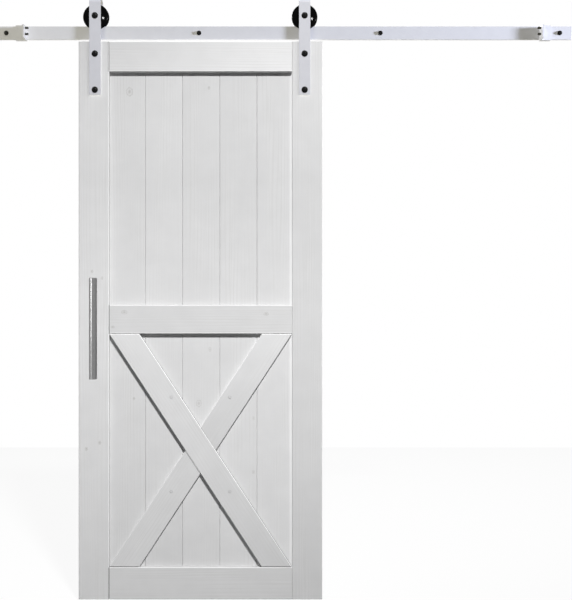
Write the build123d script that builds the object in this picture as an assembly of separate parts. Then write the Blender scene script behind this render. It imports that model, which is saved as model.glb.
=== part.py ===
from build123d import *
import math
import os

# A sliding barn door that hangs from a flat overhead track by two grooved wheels.
# All sizes are in millimetres. X runs along the track, +Z is up and +Y points into the wall.
# The origin lies on the wall plane, where the backs of the track's spacers stand, at the
# height of the track's centre line and midway between the two outer lag screws.

# Track bar and its fixings to the wall
track_height = 50.8
track_thickness = 6.35
track_edge = 0.6
wall_gap = 35.0
lag_span = 2125.2
inner_lag_left_x = -322.7
inner_lag_right_x = 374.0
track_end_margin = 45.4
lag_radius = 4.0
lag_thread_radius = 3.6
lag_wall_depth = 32.0
lag_head_flats = 13.0
lag_head_height = 5.5
lag_washer_radius = 8.8
lag_washer_thickness = 1.6
spacer_radius = 8.8
hole_clearance = 0.25

# End stops, clamped round the track
stop_to_lag = 36.2
stop_length = 41.5
stop_wall = 3.0
stop_clearance = 0.15
stop_plate_thickness = 6.35
stop_plate_reach = 32.0
stop_plate_below_top = 3.4
stop_plate_corner = 5.0
stop_relief = 6.0
set_screw_radius = 3.0
set_screw_flats = 3.0
set_screw_socket = 3.0
set_screw_pitch = 18.0
set_screw_proud = 2.0
bumper_radius = 4.5
bumper_reach = 12.5
bumper_stem_radius = 2.5
bumper_pitch = 23.0
bumper_mid_height = 2.4

# Grooved wheels and their bearings
tread_radius = 35.3
running_gap = 0.3
flange_radius = 49.5
groove_clearance = 0.5
wheel_half_width = 11.0
boss_radius = 26.0
boss_slope = 7.0
boss_rise = 2.5
rim_bevel = 4.0
rim_bevel_depth = 2.0
bearing_radius = 15.0
bearing_width = 12.0
inner_ring_radius = 8.4
push_fit = 0.05

# J-shaped hanger straps
strap_width = 43.5
strap_thickness = 6.35
left_strap_inset = 63.4
right_strap_inset = 67.6
strap_drop = 206.0
strap_edge = 0.7
strap_corner = 3.0
strap_side_gap = 4.6
strap_bend_rise = 0.3
upper_bolt_drop = 48.0
lower_bolt_drop = 186.0
bolt_radius = 5.0
bolt_head_radius = 12.0
bolt_head_rim = 1.2
bolt_dome = 5.6
bolt_socket_flats = 6.0
bolt_socket_depth = 3.5
bolt_end = 2.0
nut_flats = 17.0
nut_height = 6.5
washer_radius = 12.0
washer_thickness = 1.8
axle_spacer_radius = 8.0

# Door leaf: a grooved frame, tongued planks, and boards laid on the planks
door_width = 932.0
door_height = 2134.0
door_thickness = 35.0
door_rest_x = -315.7
track_to_door = 11.4
stile_width = 116.0
top_rail_height = 115.0
middle_rail_height = 109.5
bottom_rail_height = 122.5
brace_field_height = 893.5
brace_end_width = 115.0
front_board = 15.0
arris = 1.8
shoulder_gap = 1.8
brace_head_gap = 1.0
brace_foot_gap = 2.4
plank_thickness = 12.0
plank_cover = 143.0
plank_count = 5
groove_depth = 10.0
groove_side_gap = 0.1
groove_end_gap = 0.5
tongue_length = 6.0
tongue_thickness = 4.0
seam_bevel = 1.8
seam_gap = 0.6
tenon_length = 30.0
tenon_shoulder = 20.0
plug_radius = 6.0
plug_depth = 5.0
upper_plug_rise = 203.7
upper_plug_inset = 21.4
lower_plug_drop = 157.3
lower_plug_outset = 9.0
brace_screw_radius = 2.2
brace_screw_head_radius = 4.2
brace_screw_length = 18.0

# Pull handle on the left stile
pull_inset = 65.5
pull_radius = 14.8
pull_length = 382.0
pull_edge = 1.2
pull_standoff = 42.0
pull_height = 1037.6
post_radius = 6.0
post_spread = 280.0
post_socket = 9.0
pull_screw_radius = 3.0
pull_tapped_depth = 16.0
pull_screw_end_gap = 0.5
pull_screw_head_radius = 6.2
pull_screw_head = 4.0

# Planes and centres that follow from the sizes
track_length = lag_span + 2 * track_end_margin
track_top = track_height / 2
track_back_y = -wall_gap
track_front_y = track_back_y - track_thickness
lag_xs = [-lag_span / 2, inner_lag_left_x, inner_lag_right_x, lag_span / 2]
stop_outer_x = lag_span / 2 - stop_to_lag
stop_inner_x = stop_outer_x - stop_length
wheel_y = (track_back_y + track_front_y) / 2
axle_z = track_top + running_gap + tread_radius
strap_half_gap = wheel_half_width + strap_side_gap
strap_half_depth = strap_half_gap + strap_thickness
strap_front_y = wheel_y - strap_half_depth
strap_back_y = wheel_y + strap_half_depth
bend_z = axle_z + flange_radius + strap_bend_rise
door_front_y = wheel_y - strap_half_gap
door_back_y = door_front_y + door_thickness
door_top = -track_top - track_to_door
door_bottom = door_top - door_height
strap_xs = [
    door_rest_x - door_width / 2 + left_strap_inset,
    door_rest_x + door_width / 2 - right_strap_inset,
]
bolt_zs = [door_top - upper_bolt_drop, door_top - lower_bolt_drop]
panel_left = door_rest_x - door_width / 2 + stile_width
panel_right = door_rest_x + door_width / 2 - stile_width
plank_front_y = door_front_y + front_board
plank_back_y = plank_front_y + plank_thickness
plank_mid_y = (plank_front_y + plank_back_y) / 2
panel_bottom = door_bottom + bottom_rail_height
panel_top = door_top - top_rail_height
field_top = panel_bottom + brace_field_height
pull_x = door_rest_x - door_width / 2 + pull_inset
pull_y = door_front_y - pull_standoff
pull_z = door_bottom + pull_height
post_zs = [pull_z - post_spread / 2, pull_z + post_spread / 2]


def facing(outline, back_y, thickness):
    """Give an X-Z outline a thickness, from back_y towards the viewer."""
    return extrude(Plane.XZ.offset(-back_y) * outline, amount=thickness, dir=(0, -1, 0))


def along_x(outline, x_from, x_to):
    """Run a Y-Z section along X."""
    return extrude(Plane.YZ.offset(x_from) * outline, amount=x_to - x_from, dir=(1, 0, 0))


def along_z(outline, z_from, z_to):
    """Run an X-Y section up Z."""
    return extrude(Plane.XY.offset(z_from) * outline, amount=z_to - z_from, dir=(0, 0, 1))


def section(points):
    """A flat face through the points."""
    return Polygon(*points, align=None)


def turned(points, x, z):
    """Turn a profile of (radius, y) points about the line through x and z."""
    return Pos(x, 0, z) * revolve(section(points), Axis.Y)


def tube(inner, outer, y_from, y_to, x, z):
    """A plain ring or tube along Y."""
    ends = [(inner, y_from), (outer, y_from), (outer, y_to), (inner, y_to)]
    return turned(ends, x, z)


def rod(radius, y_from, y_to, x, z):
    """A round bar along Y."""
    ends = [(0, y_from), (radius, y_from), (radius, y_to), (0, y_to)]
    return turned(ends, x, z)


def hexagon(flats, back_y, height, x, z):
    """A six-sided block that stands on back_y and faces the viewer."""
    outline = Pos(x, z) * RegularPolygon(flats / math.sqrt(3), 6)
    return facing(outline, back_y, height)


def domed_bolt(seat_y, end_y, x, z):
    """A bolt with a low round head on seat_y, a hexagon socket, and a shank to end_y."""
    rim_y = seat_y - bolt_head_rim
    ball = (bolt_head_radius**2 + bolt_dome**2) / (2 * bolt_dome)
    half_angle = math.asin(bolt_head_radius / ball) / 2
    crown_y = rim_y - bolt_dome
    middle = (ball * math.sin(half_angle), crown_y + ball - ball * math.cos(half_angle))
    dome = ThreePointArc((bolt_head_radius, rim_y), middle, (0, crown_y))
    rest = Polyline(
        (0, crown_y),
        (0, end_y),
        (bolt_radius, end_y),
        (bolt_radius, seat_y),
        (bolt_head_radius, seat_y),
        (bolt_head_radius, rim_y),
    )
    blank = Pos(x, 0, z) * revolve(make_face([dome, rest]), Axis.Y)
    socket_floor = crown_y + bolt_socket_depth
    socket = hexagon(bolt_socket_flats, socket_floor, 2 * bolt_socket_depth, x, z)
    return blank - socket


def nut(seat_y, x, z):
    """A plain nut that lies against a face that looks towards the wall."""
    blank = hexagon(nut_flats, seat_y + nut_height, nut_height, x, z)
    return blank - rod(bolt_radius + push_fit, seat_y, seat_y + nut_height, x, z)


def washer(seat_y, x, z):
    """The washer under a nut."""
    bore = bolt_radius + hole_clearance
    return tube(bore, washer_radius, seat_y, seat_y + washer_thickness, x, z)


def track_bar():
    """The flat bar, drilled for the lag screws."""
    outline = Rectangle(track_length, track_height)
    blank = facing(outline, track_back_y, track_thickness)
    front = blank.faces().sort_by(Axis.Y)[0]
    blank = chamfer(front.edges(), track_edge)
    for x in lag_xs:
        blank -= rod(lag_radius + hole_clearance, track_front_y, track_back_y, x, 0)
    return blank


def wall_spacers():
    """The tubes that hold the bar off the wall."""
    bore = lag_radius + hole_clearance
    return [tube(bore, spacer_radius, track_back_y, 0, x, 0) for x in lag_xs]


def lag_washers():
    """One washer under each lag head."""
    face_y = track_front_y - lag_washer_thickness
    bore = lag_radius + hole_clearance
    return [tube(bore, lag_washer_radius, face_y, track_front_y, x, 0) for x in lag_xs]


def wall_lag(x):
    """A hexagon lag screw: a plain shank to the wall plane, then the threaded part."""
    seat_y = track_front_y - lag_washer_thickness
    face_y = seat_y - lag_head_height
    shank = turned(
        [
            (0, seat_y),
            (lag_radius, seat_y),
            (lag_radius, 0),
            (lag_thread_radius, 0),
            (lag_thread_radius, lag_wall_depth),
            (0, lag_wall_depth),
        ],
        x,
        0,
    )
    # the hexagon's six corners are turned off at its face
    flat = lag_head_flats / 2
    corner = lag_head_flats / math.sqrt(3)
    dressing = turned(
        [
            (0, face_y),
            (flat, face_y),
            (corner, face_y + corner - flat),
            (corner, seat_y),
            (0, seat_y),
        ],
        x,
        0,
    )
    head = hexagon(lag_head_flats, seat_y, lag_head_height, x, 0)
    return (head & dressing) + shank


def stop_clamp():
    """The right-hand stop: a wrap round the bar with a plate that stands forward."""
    inner_z = track_top + stop_clearance
    outer_z = inner_z + stop_wall
    inner_y = (track_front_y - stop_clearance, track_back_y + stop_clearance)
    outer_y = (inner_y[0] - stop_wall, inner_y[1] + stop_wall)
    plate_top = track_top - stop_plate_below_top
    middle = ((outer_y[0] + outer_y[1]) / 2, 0)
    outer = Pos(*middle) * Rectangle(outer_y[1] - outer_y[0], 2 * outer_z)
    inner = Pos(*middle) * Rectangle(inner_y[1] - inner_y[0], 2 * inner_z)
    wrap = along_x(outer - inner, stop_inner_x, stop_outer_x)
    # the wheel's flanges reach past the strap, so the wrap's upper corner is cut back
    relief = section(
        [
            (outer_y[0], plate_top),
            (outer_y[1], plate_top),
            (outer_y[1], outer_z),
            (outer_y[0], outer_z),
        ]
    )
    wrap -= along_x(relief, stop_inner_x, stop_inner_x + stop_relief)
    plate_outline = section(
        [
            (outer_y[0], -outer_z),
            (outer_y[0], plate_top),
            (outer_y[0] - stop_plate_reach, plate_top),
            (outer_y[0] - stop_plate_reach, -outer_z),
        ]
    )
    plate = along_x(plate_outline, stop_inner_x, stop_inner_x + stop_plate_thickness)
    tips = plate.edges().filter_by(Axis.X).sort_by(Axis.Y)[:2]
    plate = fillet(tips, stop_plate_corner)
    stop = wrap + plate
    for z in bumper_zs():
        stop -= Pos(stop_inner_x, bumper_y(), z) * bumper_hole()
    for x in set_screw_xs():
        bore = set_screw_radius + push_fit
        stop -= rod(bore, inner_y[1] - stop_wall / 2, outer_y[1], x, 0)
    return stop


def bumper_y():
    """The bumpers stand in the plane of the straps that they meet."""
    return strap_front_y + strap_thickness / 2


def bumper_zs():
    """The heights of a stop's two bumpers."""
    half = bumper_pitch / 2
    return [bumper_mid_height - half, bumper_mid_height + half]


def bumper_hole():
    """The hole for a bumper's stem, along X from the plate's inner face."""
    hole = Cylinder(bumper_stem_radius + push_fit, 2 * stop_plate_thickness)
    return Rot(0, 90, 0) * hole


def bumper(z):
    """A round rubber buffer with a stem that is pressed into the plate."""
    profile = section(
        [
            (-bumper_reach, 0),
            (-bumper_reach, bumper_radius),
            (0, bumper_radius),
            (0, bumper_stem_radius),
            (stop_plate_thickness, bumper_stem_radius),
            (stop_plate_thickness, 0),
        ]
    )
    return Pos(stop_inner_x, bumper_y(), z) * revolve(profile, Axis.X)


def set_screw_xs():
    """Where the grub screws press on the bar's back."""
    middle = stop_outer_x - stop_length / 2
    return [middle - set_screw_pitch / 2, middle + set_screw_pitch / 2]


def set_screws():
    """The four grub screws through the backs of the stops."""
    end_y = track_back_y + stop_clearance + stop_wall + set_screw_proud
    made = []
    for x in set_screw_xs():
        for side in (-1, 1):
            blank = rod(set_screw_radius, track_back_y, end_y, side * x, 0)
            socket = hexagon(set_screw_flats, end_y, set_screw_socket, side * x, 0)
            made.append(blank - socket)
    return made


def wheel_blank(x):
    """One side of the wheel's profile is drawn, mirrored and turned."""
    groove_half = track_thickness / 2 + groove_clearance
    face = wheel_half_width - boss_rise
    half = [
        (bearing_radius + push_fit, wheel_half_width),
        (boss_radius, wheel_half_width),
        (boss_radius + boss_slope, face),
        (flange_radius - rim_bevel, face),
        (flange_radius, face - rim_bevel_depth),
        (flange_radius, groove_half),
        (tread_radius, groove_half),
    ]
    mirrored = [(radius, -y) for radius, y in reversed(half)]
    return Pos(x, wheel_y, axle_z) * revolve(section(half + mirrored), Axis.Y)


def bearing_inner_ring(x):
    """The plain inner ring, on the axle bolt."""
    half = bearing_width / 2
    bore = bolt_radius + push_fit
    return tube(bore, inner_ring_radius, wheel_y - half, wheel_y + half, x, axle_z)


def bearing_outer_ring(x):
    """The sealed outer part of the bearing, pressed into the wheel."""
    half = bearing_width / 2
    bore = inner_ring_radius + push_fit
    return tube(bore, bearing_radius, wheel_y - half, wheel_y + half, x, axle_z)


def axle_spacers(x):
    """The collars that keep the inner ring midway between the strap's legs."""
    bore = bolt_radius + push_fit
    ring_half = bearing_width / 2
    front = tube(bore, axle_spacer_radius, wheel_y - strap_half_gap, wheel_y - ring_half, x, axle_z)
    rear = tube(bore, axle_spacer_radius, wheel_y + ring_half, wheel_y + strap_half_gap, x, axle_z)
    return [front, rear]


def hanger_strap(x):
    """A flat bar bent over the wheel: long leg down the door, short leg behind the wheel."""
    low = door_top - strap_drop
    short_low = axle_z - strap_width / 2
    outer = ThreePointArc(
        (strap_front_y, bend_z), (wheel_y, bend_z + strap_half_depth), (strap_back_y, bend_z)
    )
    inner = ThreePointArc(
        (wheel_y + strap_half_gap, bend_z),
        (wheel_y, bend_z + strap_half_gap),
        (wheel_y - strap_half_gap, bend_z),
    )
    short_leg = Polyline(
        (strap_back_y, bend_z),
        (strap_back_y, short_low),
        (wheel_y + strap_half_gap, short_low),
        (wheel_y + strap_half_gap, bend_z),
    )
    long_leg = Polyline(
        (wheel_y - strap_half_gap, bend_z),
        (wheel_y - strap_half_gap, low),
        (strap_front_y, low),
        (strap_front_y, bend_z),
    )
    profile = make_face([outer, short_leg, inner, long_leg])
    strap = along_x(profile, x - strap_width / 2, x + strap_width / 2)
    feet = strap.edges().filter_by(Axis.Y).sort_by(Axis.Z)[:2]
    strap = fillet(feet, strap_corner)
    # the short leg ends in a half circle about the axle
    square = Pos(x, axle_z - strap_width / 4) * Rectangle(strap_width, strap_width / 2)
    ends = square - Pos(x, axle_z) * Circle(strap_width / 2)
    strap -= facing(ends, strap_back_y, strap_thickness)
    # the two long edges of the front face
    near = 0.01
    sides = [
        edge
        for edge in strap.edges()
        if abs(edge.center().Y - strap_front_y) < near and edge.length > strap_drop
    ]
    strap = chamfer(sides, strap_edge)
    hole = bolt_radius + hole_clearance
    strap -= rod(hole, strap_front_y, strap_back_y, x, axle_z)
    for z in bolt_zs:
        strap -= rod(hole, strap_front_y, door_front_y, x, z)
    return strap


def stile(outer_x, inner_x):
    """An upright of the frame, grooved for the planks and mortised for the rails."""
    side = 1 if inner_x > outer_x else -1
    outline = section(
        [
            (outer_x + side * arris, door_front_y),
            (inner_x - side * arris, door_front_y),
            (inner_x, door_front_y + arris),
            (inner_x, door_back_y - arris),
            (inner_x - side * arris, door_back_y),
            (outer_x + side * arris, door_back_y),
            (outer_x, door_back_y - arris),
            (outer_x, door_front_y + arris),
        ]
    )
    board = along_z(outline, door_bottom, door_top)
    groove = slot_section(inner_x, inner_x - side * groove_depth)
    board -= along_z(groove, panel_bottom - groove_depth, panel_top + groove_depth)
    mortise_end = tenon_length + groove_end_gap
    mortise = slot_section(inner_x, inner_x - side * mortise_end)
    for low, high in tenon_heights():
        board -= along_z(mortise, low - groove_side_gap, high + groove_side_gap)
    return board


def slot_section(x_from, x_to):
    """The X-Y section of a groove as wide as a plank is thick."""
    front = plank_front_y - groove_side_gap
    back = plank_back_y + groove_side_gap
    return section([(x_from, front), (x_to, front), (x_to, back), (x_from, back)])


def tenon_heights():
    """The lower and upper edge of the bottom rail's tenons, then of the top rail's."""
    return [
        (door_bottom + tenon_shoulder, panel_bottom - groove_depth - groove_side_gap),
        (panel_top + groove_depth + groove_side_gap, door_top - tenon_shoulder),
    ]


def rail(outer_z, inner_z, tenon):
    """A cross rail of the frame, grooved on its inner edge, with a tenon at each end."""
    side = 1 if inner_z > outer_z else -1
    outline = section(
        [
            (door_front_y, outer_z + side * arris),
            (door_front_y + arris, outer_z),
            (door_back_y - arris, outer_z),
            (door_back_y, outer_z + side * arris),
            (door_back_y, inner_z - side * arris),
            (door_back_y - arris, inner_z),
            (plank_back_y + groove_side_gap, inner_z),
            (plank_back_y + groove_side_gap, inner_z - side * groove_depth),
            (plank_front_y - groove_side_gap, inner_z - side * groove_depth),
            (plank_front_y - groove_side_gap, inner_z),
            (door_front_y + arris, inner_z),
            (door_front_y, inner_z - side * arris),
        ]
    )
    board = along_x(outline, panel_left + shoulder_gap, panel_right)
    # the tenons fill their mortises from cheek to cheek, as glued ones do
    low, high = tenon
    cheeks = plank_thickness + 2 * groove_side_gap
    tongue = Pos(plank_mid_y, (low + high) / 2) * Rectangle(cheeks, high - low)
    board += along_x(tongue, panel_left - tenon_length, panel_right + tenon_length)
    return board


def middle_rail():
    """The cross board that lies on the planks, flush with the frame."""
    outline = section(
        [
            (plank_front_y, field_top),
            (plank_front_y, field_top + middle_rail_height),
            (door_front_y + arris, field_top + middle_rail_height),
            (door_front_y, field_top + middle_rail_height - arris),
            (door_front_y, field_top + arris),
            (door_front_y + arris, field_top),
        ]
    )
    return along_x(outline, panel_left + shoulder_gap, panel_right)


def plank_edges():
    """The seams between the planks, with the two outer edges inside the stiles."""
    middle = (panel_left + panel_right) / 2
    inner_count = plank_count - 2
    first = middle - inner_count * plank_cover / 2
    seams = [first + i * plank_cover for i in range(inner_count + 1)]
    sink = groove_depth - groove_end_gap
    return [panel_left - sink] + seams + [panel_right + sink]


def plank(index):
    """A plank: bevelled at its seams, a groove on its left edge and a tongue on its right.

    The lip in front of the groove is cut back, so that each seam shows a thin dark line.
    """
    edges = plank_edges()
    left, right = edges[index], edges[index + 1]
    half = tongue_thickness / 2
    slack = groove_side_gap
    points = [(left, plank_back_y)]
    if index > 0:
        floor_x = left + tongue_length + groove_end_gap
        points += [
            (left, plank_mid_y + half + slack),
            (floor_x, plank_mid_y + half + slack),
            (floor_x, plank_mid_y - half - slack),
            (left + seam_gap, plank_mid_y - half - slack),
            (left + seam_gap, plank_front_y + seam_bevel),
            (left + seam_gap + seam_bevel, plank_front_y),
        ]
    else:
        points += [(left, plank_front_y)]
    if index < plank_count - 1:
        tip_x = right + tongue_length
        points += [
            (right - seam_bevel, plank_front_y),
            (right, plank_front_y + seam_bevel),
            (right, plank_mid_y - half),
            (tip_x, plank_mid_y - half),
            (tip_x, plank_mid_y + half),
            (right, plank_mid_y + half),
        ]
    else:
        points += [(right, plank_front_y)]
    points += [(right, plank_back_y)]
    sink = groove_depth - groove_end_gap
    return along_z(section(points), panel_bottom - sink, panel_top + sink)


def brace_blank(top_left, bottom_left):
    """A slanting board with level ends at the rails, before it is cut to fit."""
    outline = section(
        [
            (top_left, field_top),
            (top_left + brace_end_width, field_top),
            (bottom_left + brace_end_width, panel_bottom),
            (bottom_left, panel_bottom),
        ]
    )
    # it stops a little short of both rails
    low = panel_bottom + brace_foot_gap
    high = field_top - brace_head_gap
    space = section([(panel_left, low), (panel_right, low), (panel_right, high), (panel_left, high)])
    return facing(outline & space, plank_front_y, front_board)


def softened(board):
    """Take the sharp edges off a board's front face."""
    front = board.faces().sort_by(Axis.Y)[0]
    return board.chamfer(arris, None, front.edges())


def braces():
    """The long brace, and the upper and lower halves that butt against it."""
    far_end = panel_right - brace_end_width
    long_brace = brace_blank(panel_left, far_end)
    crossing = brace_blank(far_end, panel_left)
    halves = (crossing - long_brace).solids().sort_by(Axis.Z)
    return [softened(board) for board in (long_brace.solid(), halves[1], halves[0])]


def plug_places():
    """The four places where a screw holds a brace, as X and Z."""
    middle_x = (panel_left + panel_right) / 2
    middle_z = (panel_bottom + field_top) / 2
    # how far a brace's centre line runs sideways for each millimetre up
    slope = (panel_right - panel_left - brace_end_width) / brace_field_height
    upper = slope * upper_plug_rise - upper_plug_inset
    lower = slope * lower_plug_drop + lower_plug_outset
    places = []
    for side in (-1, 1):
        places.append((middle_x + side * upper, middle_z + upper_plug_rise))
        places.append((middle_x + side * lower, middle_z - lower_plug_drop))
    return places


def brace_plug(x, z):
    """A wooden plug in the brace's face, over a screw."""
    return rod(plug_radius, door_front_y, door_front_y + plug_depth, x, z)


def brace_screw(x, z):
    """A countersunk screw under its plug, into the plank."""
    seat_y = door_front_y + plug_depth
    sink = brace_screw_head_radius - brace_screw_radius
    return turned(
        [
            (0, seat_y),
            (brace_screw_head_radius, seat_y),
            (brace_screw_radius, seat_y + sink),
            (brace_screw_radius, seat_y + brace_screw_length),
            (0, seat_y + brace_screw_length),
        ],
        x,
        z,
    )


def pull_bar():
    """The round bar of the pull, bored for its posts."""
    half = pull_length / 2
    profile = section(
        [
            (0, -half),
            (pull_radius - pull_edge, -half),
            (pull_radius, pull_edge - half),
            (pull_radius, half - pull_edge),
            (pull_radius - pull_edge, half),
            (0, half),
        ]
    )
    bar = Pos(pull_x, pull_y, pull_z) * revolve(Plane.XZ * profile, Axis.Z)
    for z in post_zs:
        floor_y = pull_y + pull_radius - post_socket
        bar -= rod(post_radius + push_fit, floor_y, door_front_y, pull_x, z)
    return bar


def pull_post(z):
    """A post from the door's face into the bar, tapped from the door's side."""
    top_y = pull_y + pull_radius - post_socket
    post = rod(post_radius, top_y, door_front_y, pull_x, z)
    tapped = pull_screw_radius + push_fit
    return post - rod(tapped, door_front_y - pull_tapped_depth, door_front_y, pull_x, z)


def pull_screw(z):
    """A screw from the back of the door into a post."""
    end_y = door_front_y - pull_tapped_depth + pull_screw_end_gap
    return turned(
        [
            (0, end_y),
            (pull_screw_radius, end_y),
            (pull_screw_radius, door_back_y),
            (pull_screw_head_radius, door_back_y),
            (pull_screw_head_radius, door_back_y + pull_screw_head),
            (0, door_back_y + pull_screw_head),
        ],
        pull_x,
        z,
    )


def bored(board, radius, x, z):
    """Drill a hole right through the door's thickness."""
    return board - rod(radius, door_front_y, door_back_y, x, z)


def door_nodes():
    """The leaf's boards, drilled for the bolts and screws that pass through them."""
    left = stile(door_rest_x - door_width / 2, panel_left)
    right = stile(door_rest_x + door_width / 2, panel_right)
    hole = bolt_radius + hole_clearance
    for z in bolt_zs:
        left = bored(left, hole, strap_xs[0], z)
        right = bored(right, hole, strap_xs[1], z)
    for z in post_zs:
        left = bored(left, pull_screw_radius + hole_clearance, pull_x, z)
    bottom_tenon, top_tenon = tenon_heights()
    nodes = {
        "left_stile": left,
        "right_stile": right,
        "top_rail": rail(door_top, panel_top, top_tenon),
        "middle_rail": middle_rail(),
        "bottom_rail": rail(door_bottom, panel_bottom, bottom_tenon),
    }
    planks = [plank(i) for i in range(plank_count)]
    long_brace, upper_brace, lower_brace = braces()
    boards = [long_brace, upper_brace, lower_brace]
    for x, z in plug_places():
        plug = brace_plug(x, z)
        screw = brace_screw(x, z)
        boards = [board - plug - screw for board in boards]
        planks = [board - screw for board in planks]
    for i, board in enumerate(planks):
        nodes[f"plank_{i + 1}"] = board
    nodes["long_brace"], nodes["upper_brace"], nodes["lower_brace"] = boards
    nodes["brace_plugs"] = [brace_plug(x, z) for x, z in plug_places()]
    nodes["brace_screws"] = [brace_screw(x, z) for x, z in plug_places()]
    return nodes


def hanger_nodes():
    """The straps, their bolts, and the axles that carry the wheels."""
    through_end = door_back_y + washer_thickness + nut_height + bolt_end
    axle_end = strap_back_y + washer_thickness + nut_height + bolt_end
    places = [(x, z) for x in strap_xs for z in bolt_zs]
    nut_y = door_back_y + washer_thickness
    axle_nut_y = strap_back_y + washer_thickness
    return {
        "left_hanger_strap": hanger_strap(strap_xs[0]),
        "right_hanger_strap": hanger_strap(strap_xs[1]),
        "hanger_bolts": [domed_bolt(strap_front_y, through_end, x, z) for x, z in places],
        "hanger_washers": [washer(door_back_y, x, z) for x, z in places],
        "hanger_nuts": [nut(nut_y, x, z) for x, z in places],
        "axle_bolts": [domed_bolt(strap_front_y, axle_end, x, axle_z) for x in strap_xs],
        "axle_washers": [washer(strap_back_y, x, axle_z) for x in strap_xs],
        "axle_nuts": [nut(axle_nut_y, x, axle_z) for x in strap_xs],
        "axle_spacers": [collar for x in strap_xs for collar in axle_spacers(x)],
        "bearing_inner_rings": [bearing_inner_ring(x) for x in strap_xs],
    }


def wheel_nodes():
    """Each wheel with the bearing parts that turn with it."""
    nodes = {}
    for side, x in zip(("left", "right"), strap_xs):
        nodes[f"{side}_wheel"] = wheel_blank(x)
        nodes[f"{side}_bearing_outer_ring"] = bearing_outer_ring(x)
    return nodes


def track_nodes():
    """The bar, its wall fixings and the two stops."""
    stop = stop_clamp()
    pads = [bumper(z) for z in bumper_zs()]
    return {
        "track_bar": track_bar(),
        "wall_spacers": wall_spacers(),
        "wall_lags": [wall_lag(x) for x in lag_xs],
        "lag_washers": lag_washers(),
        "left_stop": mirror(stop, Plane.YZ),
        "right_stop": stop,
        "stop_bumpers": pads + [mirror(pad, Plane.YZ) for pad in pads],
        "stop_set_screws": set_screws(),
    }


def pull_nodes():
    """The pull handle and its screws."""
    return {
        "pull_bar": pull_bar(),
        "pull_posts": [pull_post(z) for z in post_zs],
        "pull_screws": [pull_screw(z) for z in post_zs],
    }


def solids_of(shape):
    """The solids of a piece, or of a list of pieces."""
    pieces = shape if isinstance(shape, list) else [shape]
    return [solid for piece in pieces for solid in piece.solids()]


def write(nodes):
    """Write one file for each node."""
    os.makedirs("parts", exist_ok=True)
    for name, shape in nodes.items():
        solids = solids_of(shape)
        whole = solids[0] if len(solids) == 1 else Compound(children=solids)
        export_step(whole, f"parts/{name}.step")


write({**track_nodes(), **door_nodes(), **hanger_nodes(), **wheel_nodes(), **pull_nodes()})

nearest = stop_inner_x - bumper_reach - strap_width / 2
print("travel to the left", round(-nearest - strap_xs[0], 3))
print("travel to the right", round(nearest - strap_xs[1], 3))
print("wheel turn per metre of travel", round(1000 / tread_radius, 6))
print("finger gap", round(pull_y + pull_radius, 3), round(door_front_y, 3))
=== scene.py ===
# %% [markdown]
# A sliding barn door on a flat track: load the frame
#
# The solids of the door, its wheels and its track come in as a fixed frame, in metres.
# X runs along the track, +Z is up, and a viewer looks along +Y at the door's face.
# Nothing of the frame is moved here. This lesson gives each piece its finish, and replaces
# the small turned parts by finer ones in the same places.

# %% Load the frame
import math

import bmesh
import bpy
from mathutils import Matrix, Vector


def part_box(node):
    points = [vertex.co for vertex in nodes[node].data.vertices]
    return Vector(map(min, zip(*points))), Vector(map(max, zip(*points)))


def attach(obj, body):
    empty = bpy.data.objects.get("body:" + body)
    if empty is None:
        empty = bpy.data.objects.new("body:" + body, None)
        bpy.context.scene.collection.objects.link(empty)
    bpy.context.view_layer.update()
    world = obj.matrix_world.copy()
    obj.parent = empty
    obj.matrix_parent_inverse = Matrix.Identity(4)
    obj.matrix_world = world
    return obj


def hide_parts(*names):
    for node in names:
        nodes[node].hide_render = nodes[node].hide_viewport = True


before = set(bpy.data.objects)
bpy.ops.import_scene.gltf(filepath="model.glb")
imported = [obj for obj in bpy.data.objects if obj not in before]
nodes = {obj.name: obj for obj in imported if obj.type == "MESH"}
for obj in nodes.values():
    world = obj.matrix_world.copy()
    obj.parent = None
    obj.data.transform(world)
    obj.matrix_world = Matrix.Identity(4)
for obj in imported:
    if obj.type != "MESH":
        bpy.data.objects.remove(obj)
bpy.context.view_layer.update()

MM = 0.001

# %% [markdown]
# The places that everything else hangs on
#
# A size that the frame can give is read from it, so that the finer pieces always sit where
# the solids are. A box of a solid gives its faces, and half the sum of two faces its middle.

# %% Read the main places from the frame
def low(node):
    """The lowest corner of a solid's box."""
    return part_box(node)[0]


def high(node):
    """The highest corner of a solid's box."""
    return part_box(node)[1]


def middle(node):
    """The middle of a solid's box."""
    return (low(node) + high(node)) / 2


door_left, door_right = low("left_stile").x, high("right_stile").x
door_bottom, door_top = low("left_stile").z, high("left_stile").z
door_face = low("left_stile").y
plank_face = low("plank_1").y
panel_left, panel_right = high("left_stile").x, low("right_stile").x
panel_bottom, panel_top = high("bottom_rail").z, low("top_rail").z
field_top, rail_top = low("middle_rail").z, high("middle_rail").z
print("door:", round(door_right - door_left, 4), "x", round(door_top - door_bottom, 4))

# %% [markdown]
# The camera
#
# The photograph looks straight at the door from about three metres away, at about half the
# door's height. One pixel of its 572 x 600 frame covers 3.825 mm on the door's face, and the
# focal length in pixels is 759. A camera's lens is given against a sensor of 36 mm on the
# long side. Setting the camera first means that every later piece can be judged in the real
# view.

# %% Place the camera
FRAME_HEIGHT = 600
FOCAL_PIXELS = 759
PIXEL_ON_DOOR = 3.825 * MM
CAMERA_X = 0.0114
CAMERA_HEIGHT = -1.0255

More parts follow.
